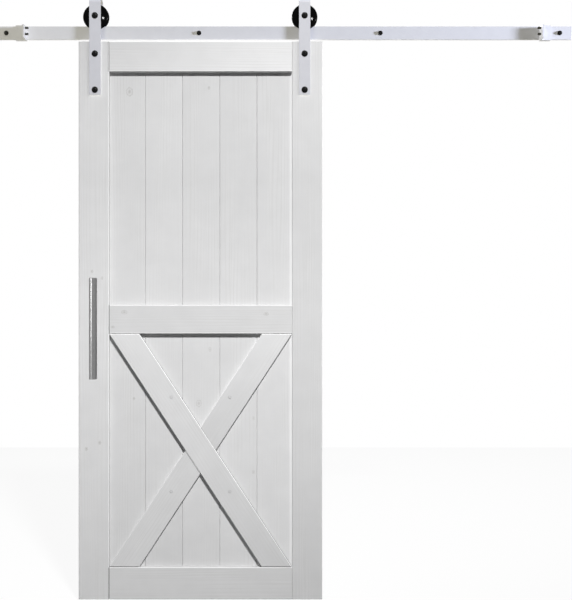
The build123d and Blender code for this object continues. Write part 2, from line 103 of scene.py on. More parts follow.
lens = bpy.data.cameras.new("studio_camera")
lens.sensor_width = 36
lens.lens = lens.sensor_width * FOCAL_PIXELS / FRAME_HEIGHT
camera = bpy.data.objects.new("studio_camera", lens)
bpy.context.scene.collection.objects.link(camera)
camera.location = (CAMERA_X, door_face - PIXEL_ON_DOOR * FOCAL_PIXELS, CAMERA_HEIGHT)
camera.rotation_euler = (math.radians(90), 0, 0)
bpy.context.scene.camera = camera
print("camera:", [round(v, 3) for v in camera.location], "lens:", round(lens.lens, 2))

# %% [markdown]
# Helpers for finishes: nodes
#
# A finish is a small network of nodes: coordinates go in, patterns are made from them, and
# the patterns drive colour, roughness and bump. Four helpers keep the networks readable:
# one starts a material, one fills a socket, one adds a node with its settings, and one
# brings the results to the surface shader.

# %% Node helpers
def start_finish(name):
    """A new material, with its node tree and its surface shader."""
    material = bpy.data.materials.new(name)
    material.use_nodes = True
    return material, material.node_tree, material.node_tree.nodes["Principled BSDF"]


def fill(tree, socket, value):
    """Link another socket into this one, or set a plain value on it."""
    if isinstance(value, bpy.types.NodeSocket):
        tree.links.new(value, socket)
    elif value is not None:
        socket.default_value = value


def add(tree, kind, feeds=(), **settings):
    """Add a node. Feeds fill its inputs in order or by name, settings are its properties."""
    node = tree.nodes.new("ShaderNode" + kind)
    for key, value in settings.items():
        setattr(node, key, value)
    pairs = feeds.items() if isinstance(feeds, dict) else enumerate(feeds)
    for key, value in pairs:
        fill(tree, node.inputs[key], value)
    return node


def connect(tree, shader, **sockets):
    """Fill the shader's own inputs, with underscores for the spaces in their names."""
    for key, value in sockets.items():
        fill(tree, shader.inputs[key.replace("_", " ")], value)


# %% [markdown]
# Helpers for finishes: patterns
#
# Nearly every finish here comes from the same few steps: the object's own coordinates, a
# soft random pattern in them, some arithmetic, and a stretch onto the range that a colour
# or a roughness needs. Most of such a pattern lies between 0.3 and 0.7, so that is the part
# that is stretched.

# %% Pattern helpers
NOISE_RANGE = (0.3, 0.7)


def math_of(tree, operation, *values):
    """One step of arithmetic on numbers or sockets."""
    return add(tree, "Math", values, operation=operation).outputs[0]


def times(tree, first, second):
    """One value multiplied by another."""
    return math_of(tree, "MULTIPLY", first, second)


def remap(tree, value, from_low, from_high, to_low=0.0, to_high=1.0):
    """Stretch a range of values onto another, clamped at both ends."""
    feeds = [value, from_low, from_high, to_low, to_high]
    return add(tree, "MapRange", feeds, clamp=True).outputs[0]


def blend(tree, amount, first, second):
    """Mix two colours. The node's sockets for colours are 6 and 7, and 2 on the way out."""
    return add(tree, "Mix", {0: amount, 6: first, 7: second}, data_type="RGBA").outputs[2]


def grey(value):
    """A neutral colour."""
    return (value, value, value, 1.0)


def own_point(tree):
    """The point on the object, in the object's own coordinates."""
    return add(tree, "TexCoord").outputs["Object"]


def axis_of(tree, vector, axis):
    """One number of a vector: 0 for X, 1 for Y and 2 for Z."""
    return add(tree, "SeparateXYZ", [vector]).outputs[axis]


def stretched(tree, vector, factors):
    """A vector multiplied axis by axis, which stretches the pattern that is read with it."""
    return add(tree, "VectorMath", [vector, factors], operation="MULTIPLY").outputs[0]


def noise_at(tree, where, scale, detail):
    """A soft random pattern. With no place given, it spans the whole piece."""
    return add(tree, "TexNoise", {"Vector": where, "Scale": scale, "Detail": detail}).outputs[0]


def spread(tree, noise, to_low, to_high):
    """Stretch most of a noise onto a range."""
    return remap(tree, noise, *NOISE_RANGE, to_low, to_high)


# %% [markdown]
# The studio: backdrop and floor
#
# The photograph is cut out on pure white. A floor and a backdrop that glow white for the
# camera, and for mirror-like reflections, give that without any more light on the door.
# The world itself is the backdrop, and the floor is one sheet. For all other rays that sheet
# is plain grey paper, and a share of white paper also shows to the camera, so that the door
# keeps a faint shadow on the floor.

# %% Paper floor
FLOOR_GAP = 0.012
FLOOR_HALF = 3.0
PAPER_SHARE = 0.06
PAPER_TONE = 0.24
PAPER_MOTTLE = 0.01
PAPER_SCALE = 60.0
FLOOR_LEVEL = door_bottom - FLOOR_GAP


def seen_directly(tree):
    """One for camera, mirror and glass rays, and nothing for the rest."""
    path = add(tree, "LightPath")
    first = math_of(tree, "MAXIMUM", path.outputs["Is Camera Ray"], path.outputs["Is Glossy Ray"])
    return math_of(tree, "MAXIMUM", first, path.outputs["Is Transmission Ray"])


def paper_finish(name, shadow_share):
    """White for the eye, with a share of white paper in it, and grey paper for the light."""
    material, tree, shader = start_finish(name)
    fibres = noise_at(tree, None, PAPER_SCALE, 3.0)
    tone = spread(tree, fibres, PAPER_TONE - PAPER_MOTTLE, PAPER_TONE + PAPER_MOTTLE)
    connect(tree, shader, Base_Color=tone, Roughness=0.9, Specular_IOR_Level=0.0)
    glow = add(tree, "Emission", {"Color": grey(1.0), "Strength": 1.0})
    paper = add(tree, "BsdfDiffuse", {"Color": grey(1.0)})
    white = add(tree, "MixShader", {0: 1 - shadow_share, 1: paper.outputs[0], 2: glow.outputs[0]})
    direct = seen_directly(tree)
    mixed = add(tree, "MixShader", {0: direct, 1: shader.outputs[0], 2: white.outputs[0]})
    tree.links.new(mixed.outputs[0], tree.nodes["Material Output"].inputs[0])
    return material


def sheet_of_paper(name, corners, material):
    """A flat four-cornered sheet, linked into the scene."""
    mesh = bpy.data.meshes.new(name)
    mesh.from_pydata(corners, [], [(0, 1, 2, 3)])
    mesh.materials.append(material)
    sheet = bpy.data.objects.new(name, mesh)
    bpy.context.scene.collection.objects.link(sheet)
    return sheet


corner_signs = ((-1, -1), (1, -1), (1, 1), (-1, 1))
corners = [(x * FLOOR_HALF, y * FLOOR_HALF, FLOOR_LEVEL) for x, y in corner_signs]
sheet_of_paper("studio_floor", corners, paper_finish("floor_paper", PAPER_SHARE))
print("floor at", round(FLOOR_LEVEL, 4))

# %% [markdown]
# The studio: light
#
# In the photograph the top rail throws a shadow 17 mm down and 7 mm left on planks that lie
# 15 mm deeper, so the main lamp stands up and to the right, 46 degrees above the horizon. It
# is a spot lamp that points below the middle of the leaf, so that the soft rim of its beam
# takes away what the head would get too much by being nearer. The beam is stretched
# sideways, so that the leaf is lit evenly wherever it slides along the bar. The hardware
# and the stiles have lamps of their own, which come near the end of this lesson, because
# light linking needs the pieces that a lamp reaches or leaves out. The world adds a weak
# even fill, which keeps the shadows deep, and stays white where it is seen directly.

# %% Lamps and world
KEY_DIRECTION = Vector((0.287, -0.633, 0.717)).normalized()
KEY_AWAY = 9.0
KEY_WATTS = 4345.0
KEY_BEAM = math.radians(21)
KEY_RADIUS = 0.45
KEY_SPREAD = 2.4
BEAM_HEIGHT = -1.2
FILL = 0.065
door_middle = Vector(((door_left + door_right) / 2, door_face, (door_bottom + door_top) / 2))
beam_target = Vector((door_middle.x, door_middle.y, BEAM_HEIGHT))


def turned_to(place, target):
    """The rotation that makes a lamp look from its place at a target."""
    return (Vector(target) - Vector(place)).to_track_quat("-Z", "Y").to_euler()


def hang_lamp(name, data, place, target):
    """Put a lamp in its place. It isn't seen itself."""
    lamp = bpy.data.objects.new(name, data)
    lamp.location = place
    lamp.rotation_euler = turned_to(place, target)
    lamp.visible_camera = False
    bpy.context.scene.collection.objects.link(lamp)
    return lamp


def soft_lamp(name, place, target, watts, size):
    """A round soft box that points at a target."""
    data = bpy.data.lights.new(name, "AREA")
    data.shape = "DISK"
    data.size = size
    data.energy = watts
    return hang_lamp(name, data, place, target)


def beam_lamp(name, share):
    """A spot lamp in the main direction, with a soft rim, at a share of the main power."""
    data = bpy.data.lights.new(name, "SPOT")
    data.energy = KEY_WATTS * share
    data.spot_size = KEY_BEAM
    data.spot_blend = 1.0
    data.shadow_soft_size = KEY_RADIUS
    lamp = hang_lamp(name, data, door_middle + KEY_DIRECTION * KEY_AWAY, beam_target)
    lamp.scale.x = KEY_SPREAD
    return lamp


key_lamp = beam_lamp("key_lamp", 1.0)
world = bpy.data.worlds.new("studio_world")
bpy.context.scene.world = world
world.use_nodes = True
sky = world.node_tree
background = sky.nodes["Background"]
strength = remap(sky, seen_directly(sky), 0.0, 1.0, FILL, 1.0)
sky.links.new(strength, background.inputs["Strength"])
background.inputs["Color"].default_value = grey(1.0)
print("key lamp at", [round(v, 2) for v in key_lamp.location])

# %% [markdown]
# White-washed pine: the knots
#
# A knot is where a branch once left the trunk. Under the wash it shows as a faint ring with
# a darker heart. A node group makes one from a centre and a radius, so a board can hold as
# many as it really has, each at its own place. Depth doesn't count in it, it is a little
# longer along the grain, and a fine noise makes its rim ragged.

# %% A knot as a node group
KNOT_SHAPE = (1.0, 0.0, 0.72)
RAGGED_SCALE = 160.0
RAGGED = (0.85, 1.15)
HEART_FADES = (0.25, 0.7)
RIM_HALF = 0.28
RIM_STRENGTH = 0.8


def make_knot_group():
    """Inputs: a point, a centre and a radius. Output: how much knot there is, from 0 to 1."""
    tree = bpy.data.node_groups.new("pine_knot", "ShaderNodeTree")
    for name, kind in (("Point", "Vector"), ("Centre", "Vector"), ("Radius", "Float")):
        tree.interface.new_socket(name, in_out="INPUT", socket_type="NodeSocket" + kind)
    tree.interface.new_socket("Knot", in_out="OUTPUT", socket_type="NodeSocketFloat")
    point, centre, radius = tree.nodes.new("NodeGroupInput").outputs[:3]
    result = tree.nodes.new("NodeGroupOutput")
    offset = add(tree, "VectorMath", [point, centre], operation="SUBTRACT").outputs[0]
    flat = stretched(tree, offset, KNOT_SHAPE)
    length = add(tree, "VectorMath", [flat], operation="LENGTH").outputs["Value"]
    ragged = spread(tree, noise_at(tree, point, RAGGED_SCALE, 2.0), *RAGGED)
    away = times(tree, math_of(tree, "DIVIDE", length, radius), ragged)
    heart = remap(tree, away, *HEART_FADES, 1.0, 0.0)
    from_rim = math_of(tree, "ABSOLUTE", math_of(tree, "SUBTRACT", away, 1.0))
    rim = remap(tree, from_rim, 0.0, RIM_HALF, RIM_STRENGTH, 0.0)
    tree.links.new(math_of(tree, "MAXIMUM", heart, rim), result.inputs[0])
    return tree


knot_group = make_knot_group()
print("nodes in a knot:", len(knot_group.nodes))

# %% [markdown]
# White-washed pine: a board's own space
#
# Grain is a solid pattern that runs along the board, and the boards of this door lie at four
# angles. So the coordinates are turned first, until the grain runs along Z. The same turn in
# plain Python puts the centre of a knot into that space.

# %% A board's own space
def turned_into_board(point, angle):
    """A point of the object in a board's own space, with its grain along Z."""
    c, s = math.cos(angle), math.sin(angle)
    return Vector((c * point.x + s * point.z, point.y, c * point.z - s * point.x))


def in_board_space(tree, angle):
    """The object's own coordinates, turned so that a board's grain runs along Z."""
    feeds = {"Vector": own_point(tree), "Rotation": (0, angle, 0)}
    return add(tree, "Mapping", feeds).outputs[0]


# %% [markdown]
# White-washed pine: the grain
#
# A tree lays its year rings round a pith and draws them out along the trunk. Rings in a
# stretched space give that, once a noise has bent them. Each board here is cut well to one
# side of its pith, so the rings cross its face as long, gently bent lines. Fine brushed
# fibres and broad clouds of wash lie over them, and decide how much of the darker late wood
# shows.

# %% The grain
TRUNK_STRETCH = (1.0, 1.0, 0.06)
RING_BEND = (0.09, 0.09, 0.0)
RING_SCALE = 26.0
FIBRE_STRETCH = (300.0, 300.0, 5.0)
CLOUD_STRETCH = (18.0, 18.0, 2.2)
RINGS_SHOW = (0.6, 1.0)
FIBRES_SHOW = (0.5, 0.75)
MOST_LATE_WOOD = 0.5
MOST_STREAK = 0.55


def year_rings(tree, moved):
    """Year rings round the pith, drawn out along the trunk and bent by a noise."""
    drawn = stretched(tree, moved, TRUNK_STRETCH)
    wander = add(tree, "TexNoise", {"Vector": drawn, "Scale": 7.0, "Detail": 3.0}).outputs["Color"]
    bent = add(tree, "VectorMath", [wander, RING_BEND, drawn], operation="MULTIPLY_ADD").outputs[0]
    feeds = {"Vector": bent, "Scale": RING_SCALE, "Distortion": 2.5, "Detail": 3.0}
    return add(tree, "TexWave", feeds, wave_type="RINGS", rings_direction="Z").outputs["Fac"]


def grain(tree, board, shift):
    """The rings, the fibres, the clouds of wash, and how much late wood shows."""
    moved = add(tree, "VectorMath", [board, shift], operation="ADD").outputs[0]
    rings = year_rings(tree, moved)
    fibres = noise_at(tree, stretched(tree, moved, FIBRE_STRETCH), 1.0, 4.0)
    cloud = noise_at(tree, stretched(tree, moved, CLOUD_STRETCH), 1.0, 4.0)
    thin_wash = remap(tree, cloud, 0.4, 0.7, 0.0, MOST_LATE_WOOD)
    late = times(tree, remap(tree, rings, *RINGS_SHOW), thin_wash)
    brushed = remap(tree, fibres, *FIBRES_SHOW, 0.0, MOST_STREAK)
    streak = times(tree, brushed, remap(tree, cloud, 0.35, 0.65))
    return rings, fibres, cloud, math_of(tree, "MAXIMUM", late, streak)


# %% [markdown]
# White-washed pine: painted highlights, painted shade and painted light by height
#
# The strips along the joints are painted paler or darker than the rest of a board, as painted
# highlights and painted shade. Along the leaf's height the colour is painted lighter or darker,
# as painted light. A strip is a rectangle that is found from the coordinates. The tone along
# the height is a ramp of even steps, which holds half of each tone, because a ramp's colours
# end at 1.

# %% Strips, and painted light by height
STRIP_SOFT = 0.0006
# Painted light: the leaf's colour is made lighter or darker along its height, head to foot.
PAINTED_LIGHT_BY_HEIGHT = (1.09, 0.97, 1.085, 1.045, 0.92)


def between(tree, value, start, end):
    """One between two values, nothing outside them, with a soft step at each."""
    rise = remap(tree, value, start - STRIP_SOFT, start)
    fall = remap(tree, value, end + STRIP_SOFT, end)
    return times(tree, rise, fall)


def painted_strip_tone(tree, strip):
    """The painted tone of a strip along an edge, a painted highlight or painted shade: angle, two bounds
    across, two along, and the tone.
    """
    angle, across_from, across_to, along_from, along_to, tone = strip
    board = in_board_space(tree, angle)
    across = between(tree, axis_of(tree, board, 0), across_from, across_to)
    along = between(tree, axis_of(tree, board, 2), along_from, along_to)
    return remap(tree, times(tree, across, along), 0.0, 1.0, 1.0, tone)


def painted_light_along(tree, height):
    """Painted light at a height of the leaf, lighter or darker in even steps from head to foot."""
    ramp = add(tree, "ValToRGB", [remap(tree, height, door_top, door_bottom)])
    points = ramp.color_ramp.elements
    last = len(PAINTED_LIGHT_BY_HEIGHT) - 1
    for index in range(1, last):
        points.new(index / last)
    for point, tone in zip(points, PAINTED_LIGHT_BY_HEIGHT):
        point.color = grey(tone / 2)
    return times(tree, ramp.outputs[0], 2.0)


# The steps of painted light from head to foot.
print("wash from head to foot:", PAINTED_LIGHT_BY_HEIGHT)

# %% [markdown]
# White-washed pine: painted highlights on edges, painted shade on sides
#
# The Y part of a face's normal, without its sign, tells what the face is: 1 on the front of a
# board, about 0.7 on the narrow slanting edge, which is painted paler as a painted highlight,
# and 0 on a side. Where a side looks into the light, it is painted darker from the face down
# to the planks, as painted shade like the darkening in the photograph, where little light is
# thrown back from that corner.

# %% Edges and sides
FRONT_ENDS = (0.85, 0.75)
SLANT_BEGINS = (0.5, 0.6)
SIDE_BEGINS = (0.4, 0.2)


def edge_tones(tree, normal):
    """How much a face is a board's narrow slanting edge, and how much it is its side."""
    facing = math_of(tree, "ABSOLUTE", axis_of(tree, normal, 1))
    slanting = times(tree, remap(tree, facing, *FRONT_ENDS), remap(tree, facing, *SLANT_BEGINS))
    return slanting, remap(tree, facing, *SIDE_BEGINS)


def painted_corner_shade(tree, where, normal, side, corner):
    """Painted shade on the side that looks one way: full at the face, a corner's tone at the planks."""
    facing, deep_tone = corner
    towards = add(tree, "VectorMath", [normal, facing], operation="DOT_PRODUCT").outputs["Value"]
    deep = remap(tree, axis_of(tree, where, 1), door_face, plank_face)
    dimmed = times(tree, times(tree, side, remap(tree, towards, 0.3, 0.5)), deep)
    return remap(tree, dimmed, 0.0, 1.0, 1.0, deep_tone)


def knots_in(tree, board, angle, knots):
    """How much knot there is anywhere on a board."""
    knotted = None
    for centre, radius, strength in knots:
        spot = tree.nodes.new("ShaderNodeGroup")
        spot.node_tree = knot_group
        feeds = (board, turned_into_board(Vector(centre) * MM, angle), radius * MM)
        for socket, value in zip(spot.inputs, feeds):
            fill(tree, socket, value)
        shown = times(tree, spot.outputs[0], strength)
        knotted = shown if knotted is None else math_of(tree, "MAXIMUM", knotted, shown)
    return knotted


# %% [markdown]
# White-washed pine: the whole finish
#
# The wash covers almost all of the wood, so late wood shifts a near-white by a few percent
# only, and the heart of a knot shifts it by a third at most. The slanting edges are painted
# paler, as a painted highlight. The tones, with painted light and painted shade among them,
# are then multiplied together into one shade, and the colour with it. Fibres and rings also
# make the bump, and the fibres the roughness.

# %% The pine finish
WASH = (0.735, 0.735, 0.738, 1.0)
LATE_WOOD = (0.56, 0.555, 0.54, 1.0)
KNOT_BROWN = (0.36, 0.345, 0.32, 1.0)
# Painted highlight: the paler colour of a board's narrow slanting edges.
EDGE_HIGHLIGHT = (0.86, 0.86, 0.86, 1.0)
WOOD_SHOWS = 0.6
PATCH_SCALE = 14.0
PATCHY = (0.98, 1.02)
PINE_BUMP = {"Strength": 0.25, "Distance": 0.0004}
PINE_ROUGHNESS = (0.62, 0.5)


def pine(name, angle, shift, tones, heights, knots=(), edge_highlight=0.6, corner=None, strips=()):
    """White-washed pine: its grain's angle, its tone at both ends, its knots and its strips."""
    material, tree, shader = start_finish(name)
    where, board = own_point(tree), in_board_space(tree, angle)
    rings, fibres, cloud, showing = grain(tree, board, shift)
    colour = blend(tree, times(tree, showing, WOOD_SHOWS), WASH, LATE_WOOD)
    if knots:
        colour = blend(tree, knots_in(tree, board, angle, knots), colour, KNOT_BROWN)
    normal = add(tree, "NewGeometry").outputs["True Normal"]
    slanting, side = edge_tones(tree, normal)
    # Painted highlight on the slanting edges.
    colour = blend(tree, times(tree, slanting, edge_highlight), colour, EDGE_HIGHLIGHT)
    height = axis_of(tree, where, 2)
    shade = remap(tree, height, *heights, tones[1], tones[0])
    others = [painted_light_along(tree, height), spread(tree, cloud, *PATCHY)]
    others.append(spread(tree, noise_at(tree, where, PATCH_SCALE, 4.0), *PATCHY))
    if corner:
        others.append(painted_corner_shade(tree, where, normal, side, corner))
    others += [painted_strip_tone(tree, strip) for strip in strips]
    for tone in others:
        shade = times(tree, shade, tone)
    shaded = add(tree, "VectorMath", {0: colour, "Scale": shade}, operation="SCALE")
    relief = math_of(tree, "SUBTRACT", fibres, times(tree, rings, 0.3))
    bump = add(tree, "Bump", {**PINE_BUMP, "Height": relief})
    connect(
        tree,
        shader,
        Base_Color=shaded.outputs[0],
        Roughness=spread(tree, fibres, *PINE_ROUGHNESS),
        Normal=bump.outputs[0],
        Specular_IOR_Level=0.3,
    )
    return material


# %% [markdown]
# Every board its own wood
#
# Boards of one door come from different trees, so each gets its own shift through the
# pattern. Its tones at the head and the foot are partly its own tone and partly painted light
# and shade, fitted to how light falls across the leaf. The knots are placed where the
# photograph shows them, written as X, Y and Z on the door in millimetres, with a radius and
# a strength. The braces' angle comes from the field that they cross.

# %% The boards' grain and knots
UPRIGHT = 0.0
ACROSS = math.radians(-90)
BRACE_END = 115.0
brace_run = panel_right - panel_left - BRACE_END * MM
brace_rise = field_top - panel_bottom
SLANT = math.atan2(brace_run, brace_rise)
FRONT = door_face / MM
DEEP = plank_face / MM
knots_of = {
    "left_stile": [
        ((-701, FRONT, -1572), 5, 0.65),
        ((-752, FRONT, -1595), 5, 0.65),
        ((-731, FRONT, -916), 4, 0.65),
        ((-692, FRONT, -942), 4, 0.5),
    ],
    "middle_rail": [
        ((-607, FRONT, -1072), 7, 0.45),
        ((-65, FRONT, -1079), 6, 0.5),
        ((-651, FRONT, -1129), 4, 0.55),
    ],
    "plank_1": [((-590, DEEP, -225), 11, 0.4), ((-573, DEEP, -1404), 4, 0.6)],
    "plank_3": [
        ((-285, DEEP, -210), 4, 0.6),
        ((-281, DEEP, -1216), 5, 0.4),
        ((-324, DEEP, -1423), 9, 0.3),
    ],
    "plank_4": [((-113, DEEP, -1687), 5, 0.4), ((-113, DEEP, -1480), 5, 0.3)],
}
# Each board's tones at the head and the foot: partly its own tone, partly painted light and shade.
boards = {
    "left_stile": (UPRIGHT, (1.05, 1.03)),
    "right_stile": (UPRIGHT, (0.90, 0.93)),
    "top_rail": (ACROSS, (1.03, 1.03)),
    "middle_rail": (ACROSS, (0.93, 0.93)),
    "bottom_rail": (ACROSS, (1.0, 1.0)),
    "plank_1": (UPRIGHT, (0.965, 0.97)),
    "plank_2": (UPRIGHT, (0.97, 0.985)),
    "plank_3": (UPRIGHT, (0.915, 1.02)),
    "plank_4": (UPRIGHT, (0.88, 1.05)),
    "plank_5": (UPRIGHT, (0.87, 1.07)),
    "long_brace": (SLANT, (1.02, 0.98)),
    "upper_brace": (-SLANT, (1.04, 0.92)),
    "lower_brace": (-SLANT, (0.97, 1.02)),
}
print("boards:", len(boards), "knots:", sum(len(knots) for knots in knots_of.values()))

# %% [markdown]
# Painted highlights and painted shade along the edges
#
# Where a board ends, a strip of its colour is painted lighter or darker. A pale line is painted
# along the lower edges of the top and middle rails, and along the right edge of the last
# plank, as painted highlights. The left stile is painted darker where the rails meet it, as
# painted shade over the dark joints. The lower brace is painted darker where it meets the long
# one, as painted shade beside the long brace. Each strip is a rectangle on the door, turned by
# an angle where it follows a brace, with the tone that it has.

# %% Where the strips lie
# Painted highlights: pale lines along the lower edges of the top and middle rails, and along the right
# edge of the last plank.
HIGHLIGHT_LINE = 4.6 * MM
RAIL_HIGHLIGHT_TONE = 1.18
PLANK_EDGE_HIGHLIGHT_TONE = 1.10
# Painted shade: darker strips over the dark joints where the rails meet the left stile, and one on the
# lower brace beside the long brace.
HEAD_JOINT, HEAD_JOINT_SHADE = 4.6 * MM, 0.72
FOOT_JOINT, FOOT_JOINT_SHADE = 2.2 * MM, 0.45
MIDDLE_JOINT, MIDDLE_JOINT_SHADE = 0.6 * MM, 0.15
CROSSING_LINE, CROSSING_SHADE = 2.6 * MM, 0.45
far = 3.0
joint_end = panel_left + 1.0 * MM
crossing_left = turned_into_board(Vector((panel_left, 0.0, field_top)), SLANT).x
# Painted highlights and painted shade in strips, board by board.
painted_strips_of = {
    "left_stile": [
        (UPRIGHT, panel_left - HEAD_JOINT, joint_end, panel_top, door_top, HEAD_JOINT_SHADE),
        (UPRIGHT, panel_left - FOOT_JOINT, joint_end, door_bottom, panel_bottom, FOOT_JOINT_SHADE),
        (UPRIGHT, panel_left - MIDDLE_JOINT, joint_end, field_top, rail_top, MIDDLE_JOINT_SHADE),
    ],
    "plank_5": [(UPRIGHT, panel_right - 2 * HIGHLIGHT_LINE, far, -far, far, PLANK_EDGE_HIGHLIGHT_TONE)],
    "top_rail": [(UPRIGHT, -far, far, panel_top, panel_top + HIGHLIGHT_LINE, RAIL_HIGHLIGHT_TONE)],
    "middle_rail": [(UPRIGHT, -far, far, field_top, field_top + HIGHLIGHT_LINE, RAIL_HIGHLIGHT_TONE)],
    "lower_brace": [(SLANT, crossing_left - CROSSING_LINE, crossing_left, -far, far, CROSSING_SHADE)],
}
print("strips:", sum(len(strips) for strips in painted_strips_of.values()))

# %% [markdown]
# Dress the boards
#
# Each board gets one material that holds its grain, knots and strips. Its shift through the
# pattern puts the pith to one side of it, about level with the leaf's face. Some boards have a
# side that looks into the light, which is painted darker towards the planks as painted shade,
# given here by the way that it faces and its tone at the planks.

# %% Dress the boards
SHIFT_STEP = Vector((0.37, 0.0, 1.9))
PITH_DEPTH = 0.055
ALONG_X = (1.0, 0.0, 0.0)
ACROSS_BRACE = (math.cos(SLANT), 0.0, math.sin(SLANT))
UPWARD = (0.0, 0.0, 1.0)
# Painted shade: a board's side that faces this way is painted darker towards the planks.
painted_corner_shades = {
    "left_stile": (ALONG_X, 0.25),
    "long_brace": (ACROSS_BRACE, 0.1),
    "middle_rail": (UPWARD, 0.2),
    "bottom_rail": (UPWARD, 0.65),
}
# Painted highlight: how much of the paler edge colour each board's slanting edges get.
edge_highlight_of = {
    "left_stile": 0.4,
    "right_stile": 0.4,
    "top_rail": 0.9,
    "middle_rail": 0.3,
    "bottom_rail": 0.5,
    "long_brace": 0.9,
    "upper_brace": 0.9,
    "lower_brace": 0.9,
}


def dress(node, material):
    """Give a solid one material all over."""
    mesh = nodes[node].data
    mesh.materials.clear()
    mesh.materials.append(material)


for index, (node, (angle, tones)) in enumerate(boards.items()):
    shift = SHIFT_STEP * (index + 1) + Vector((0.0, PITH_DEPTH, 0.0))
    finish = pine(
        "pine_" + node,
        angle,
        tuple(shift),
        tones,
        (low(node).z, high(node).z),
        knots=knots_of.get(node, ()),
        edge_highlight=edge_highlight_of.get(node, 0.0),
        corner=painted_corner_shades.get(node),
        strips=painted_strips_of.get(node, ()),
    )
    dress(node, finish)
print("boards dressed:", len(boards))

# %% [markdown]
# Powder-coated steel
#
# The bar, the straps and the stops are coated in a pale lilac grey. Powder melts into a
# skin with a very fine orange-peel surface, which a small noise in the bump gives. Its
# colour is even, apart from a faint mottle.

# %% The powder coat
COAT = (0.565, 0.572, 0.625, 1.0)
COAT_PALE = (0.60, 0.607, 0.66, 1.0)
MOTTLE_SCALE = 35.0
SPECK_SCALE = 900.0
PEEL_SCALE = 480.0
COAT_BUMP = {"Strength": 0.25, "Distance": 0.0003}
COAT_ROUGHNESS = (0.42, 0.55)


def powder_coat(name):
    """Pale lilac-grey powder coat with a fine orange peel."""
    material, tree, shader = start_finish(name)
    where = own_point(tree)
    mottle = spread(tree, noise_at(tree, where, MOTTLE_SCALE, 5.0), 0.0, 0.6)
    speck = noise_at(tree, where, SPECK_SCALE, 2.0)
    peel = noise_at(tree, where, PEEL_SCALE, 1.0)
    paleness = math_of(tree, "ADD", mottle, remap(tree, speck, 0.4, 0.6, 0.0, 0.4))
    bump = add(tree, "Bump", {**COAT_BUMP, "Height": peel})
    connect(
        tree,
        shader,
        Base_Color=blend(tree, paleness, COAT, COAT_PALE),
        Roughness=spread(tree, speck, *COAT_ROUGHNESS),
        Normal=bump.outputs[0],
        Specular_IOR_Level=0.4,
    )
    return material


pale_coat = powder_coat("lilac_powder_coat")
coated = ["track_bar", "wall_spacers", "left_stop", "right_stop"]
coated += ["left_hanger_strap", "right_hanger_strap"]
for node in coated:
    dress(node, pale_coat)
print("coated solids:", len(coated))

# %% [markdown]
# Black steel, black gloss, bright steel, satin steel and rubber
#
# The small hardware needs five more finishes. All are made from the same few steps: a base
# colour between two greys, a pattern at the right scale, and roughness and bump from that
# pattern. The pattern is even, apart from the satin pull, which was drawn and brushed along
# its length, so there it is stretched along Z and makes no bump. The wheels' enamel is
# smooth, with a weak reflection, so that it stays black between its highlights.

# %% The small hardware's finishes
EVEN = (1.0, 1.0, 1.0)
ALONG_Z = (1.0, 1.0, 0.02)
WEAR_SCALE = 120.0
ROUGHNESS_PLAY = 0.15


def steel(name, tones, rough, scale, stretch=EVEN, metallic=0.0, specular=0.5, strength=0.15):
    """A finish between two greys, with a pattern that can be stretched along X, Y or Z."""
    material, tree, shader = start_finish(name)
    where = own_point(tree)
    lines = noise_at(tree, stretched(tree, where, stretch), scale, 4.0)
    wear = remap(tree, noise_at(tree, where, WEAR_SCALE, 3.0), 0.2, 0.8, 0.5, 1.0)
    paleness = times(tree, remap(tree, lines, 0.35, 0.65), wear)
    roughness = (rough * (1 - ROUGHNESS_PLAY), rough * (1 + ROUGHNESS_PLAY))
    bump = add(tree, "Bump", {"Strength": strength, "Distance": 0.0002, "Height": lines})
    connect(
        tree,
        shader,
        Base_Color=blend(tree, paleness, grey(tones[0]), grey(tones[1])),
        Roughness=spread(tree, lines, *roughness),
        Normal=bump.outputs[0],
        Metallic=metallic,
        Specular_IOR_Level=specular,
    )
    return material


black_oxide = steel("black_oxide", (0.004, 0.009), rough=0.42, scale=700.0, specular=0.1)
gloss_black = steel(
    "gloss_black_enamel", (0.0008, 0.0014), rough=0.1, scale=260.0, specular=0.03, strength=0.02
)
zinc = steel("zinc_plate", (0.42, 0.56), rough=0.35, scale=300.0, metallic=1.0)
# The satin steel's dark colour is painted shade: it stands in for dark surroundings mirrored in the
# pull, where the world mirrors white.
satin = steel(
    "satin_stainless", (0.20, 0.24), rough=0.3, scale=1500.0, stretch=ALONG_Z, metallic=1.0, strength=0.0
)
rubber = steel("buffer_rubber", (0.035, 0.055), rough=0.8, scale=500.0, specular=0.3, strength=0.3)

finish_of = {
    "lag_washers": black_oxide,
    "stop_set_screws": zinc,
    "hanger_washers": black_oxide,
    "axle_washers": black_oxide,
    "axle_spacers": zinc,
    "bearing_inner_rings": zinc,
    "left_bearing_outer_ring": zinc,
    "right_bearing_outer_ring": zinc,
    "brace_screws": zinc,
    "pull_screws": zinc,
    "pull_bar": satin,
    "pull_posts": satin,
}
for node, material in finish_of.items():
    dress(node, material)
print("small parts dressed:", len(finish_of))

# %% [markdown]
# Softer edges on the steel
#
# No real edge is perfectly sharp, and an edge only catches light if it has some width. A
# bevel modifier rounds the edges of the solids without changing the solids themselves. It
# works on sharp edges only, so curved faces stay as they are. Smooth shading, up to an
# angle, hides the small facets of round faces.

# %% Bevels and smooth shading
SMOOTH_ANGLE = math.radians(32)
BEVEL_STEPS = 3
edge_widths = {
    "track_bar": 0.3,
    "left_hanger_strap": 0.6,
    "right_hanger_strap": 0.6,
    "left_stop": 0.8,
    "right_stop": 0.8,
    "wall_spacers": 0.3,
    "lag_washers": 0.3,
    "hanger_washers": 0.3,
    "axle_washers": 0.3,
}


def smooth(piece):
    """Shade round faces smooth and keep the sharp edges."""
    mesh = piece.data
    mesh.shade_smooth()
    mesh.set_sharp_from_angle(angle=SMOOTH_ANGLE)


